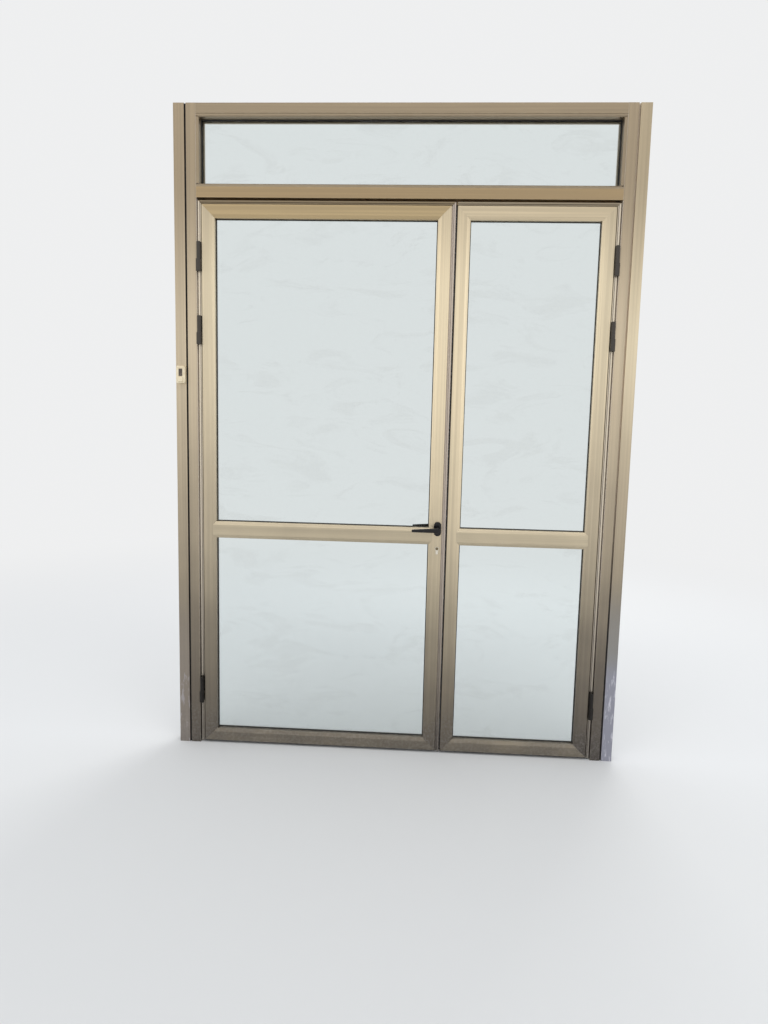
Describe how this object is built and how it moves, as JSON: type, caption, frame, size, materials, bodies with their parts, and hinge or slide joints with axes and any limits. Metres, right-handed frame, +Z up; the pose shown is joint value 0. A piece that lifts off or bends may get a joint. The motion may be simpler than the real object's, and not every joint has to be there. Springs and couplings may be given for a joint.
{
  "type": "double-leaf glass entrance door",
  "caption": "Framed glass entrance door with a wide opening leaf, a narrow side leaf that can be bolted, a fixed light above, lever handles and a bell push.",
  "frame": {"origin": "on the floor, in the middle of the door's width and of the leaf thickness", "axes": "+X to the right seen from outside, -Y to the outside, +Z up"},
  "size_m": [1.903, 0.164, 2.7],
  "materials": {
    "door_metal": "satin champagne bronze anodised or coated",
    "hinge_metal": "dark bronze, satin",
    "lever_metal": "black, satin",
    "steel": "plain brushed",
    "cylinder_metal": "dull nickel plated",
    "bare_aluminium": "mill finish",
    "clear_glass": "clear float",
    "black_rubber": "matte",
    "brush_pile": "dense dark pile",
    "packer_plastic": "matte",
    "cream_plastic": "slightly glossy, a little yellowed",
    "dark_plastic": "dark smoked"
  },
  "bodies": {
    "frame": {"left_side_post": "door_metal", "right_side_post": "door_metal", "left_jamb": "door_metal", "right_jamb": "door_metal", "transom_bar": "door_metal", "head_rail": "door_metal", "transom_glass": "clear_glass", "transom_beads": "door_metal", "transom_gaskets": "black_rubber", "frame_seals": "black_rubber", "frame_packers": "packer_plastic", "frame_screws": "steel", "frame_hinge_halves": "hinge_metal", "hinge_pins": "steel", "bell_housing": "cream_plastic", "bell_window": "dark_plastic"},
    "main_leaf": {"main_hinge_stile": "door_metal", "main_lock_stile": "door_metal", "main_top_rail": "door_metal", "main_bottom_rail": "door_metal", "main_mid_rail": "door_metal", "main_upper_glass": "clear_glass", "main_lower_glass": "clear_glass", "main_gaskets": "black_rubber", "main_beads": "door_metal", "main_corner_cleats": "bare_aluminium", "main_hinge_halves": "hinge_metal", "main_hinge_clamps": "steel", "main_screws": "steel", "main_bottom_brush": "brush_pile", "lock_case": "steel", "lock_faceplate": "steel", "outer_rose": "lever_metal", "inner_rose": "lever_metal", "cylinder_body": "cylinder_metal"},
    "lever": {"outer_lever": "lever_metal", "inner_lever": "lever_metal", "spindle": "steel", "follower": "steel"},
    "latch": {"latch_bolt": "steel"},
    "lock_bolt": {"dead_bolt": "steel"},
    "key_way": {"key_plug": "cylinder_metal"},
    "side_leaf": {"side_hinge_stile": "door_metal", "side_meeting_stile": "door_metal", "side_top_rail": "door_metal", "side_bottom_rail": "door_metal", "side_mid_rail": "door_metal", "side_upper_glass": "clear_glass", "side_lower_glass": "clear_glass", "side_gaskets": "black_rubber", "side_beads": "door_metal", "side_corner_cleats": "bare_aluminium", "side_hinge_halves": "hinge_metal", "side_hinge_clamps": "steel", "side_screws": "steel", "side_hardware_plates": "steel", "side_brushes": "brush_pile"},
    "top_shoot_bolt": {"top_flush_bolt": "steel"},
    "bottom_shoot_bolt": {"bottom_flush_bolt": "steel"},
    "bell_press": {"bell_button": "cream_plastic"}
  },
  "joints": [
    {"name": "main_leaf_swing", "type": "hinge", "parent": "frame", "child": "main_leaf", "pos_m": [-0.84875, -0.032, 1], "axis": [0, 0, -1], "range_deg": [0, 110]},
    {"name": "side_leaf_swing", "type": "hinge", "parent": "frame", "child": "side_leaf", "pos_m": [0.84875, -0.032, 1], "axis": [0, 0, 1], "range_deg": [0, 110]},
    {"name": "lever_turn", "type": "hinge", "parent": "main_leaf", "child": "lever", "pos_m": [0.1675, 0, 0.996], "axis": [0, -1, 0], "range_deg": [0, 40], "stiffness_Nm_per_rad": 1, "springref_deg": -51.57},
    {"name": "latch_slide", "type": "slide", "parent": "main_leaf", "child": "latch", "axis": [1, 0, 0], "range_m": [0, 0.011]},
    {"name": "key_turn", "type": "hinge", "parent": "main_leaf", "child": "key_way", "pos_m": [0.1675, 0, 0.911], "axis": [0, 1, 0], "range_deg": [0, 360]},
    {"name": "lock_bolt_slide", "type": "slide", "parent": "main_leaf", "child": "lock_bolt", "axis": [1, 0, 0], "range_m": [0, 0.02]},
    {"name": "top_bolt_slide", "type": "slide", "parent": "side_leaf", "child": "top_shoot_bolt", "axis": [0, 0, 1], "range_m": [0, 0.02]},
    {"name": "bottom_bolt_slide", "type": "slide", "parent": "side_leaf", "child": "bottom_shoot_bolt", "axis": [0, 0, -1], "range_m": [0, 0.02]},
    {"name": "bell_button_press", "type": "slide", "parent": "frame", "child": "bell_press", "axis": [0, 1, 0], "range_m": [0, 0.0015], "stiffness_N_per_m": 1500, "springref_m": -0.0006}
  ],
  "couplings": [
    {"joint": "key_turn", "follows": "lock_bolt_slide", "rad_per_m": 314.16}
  ]
}
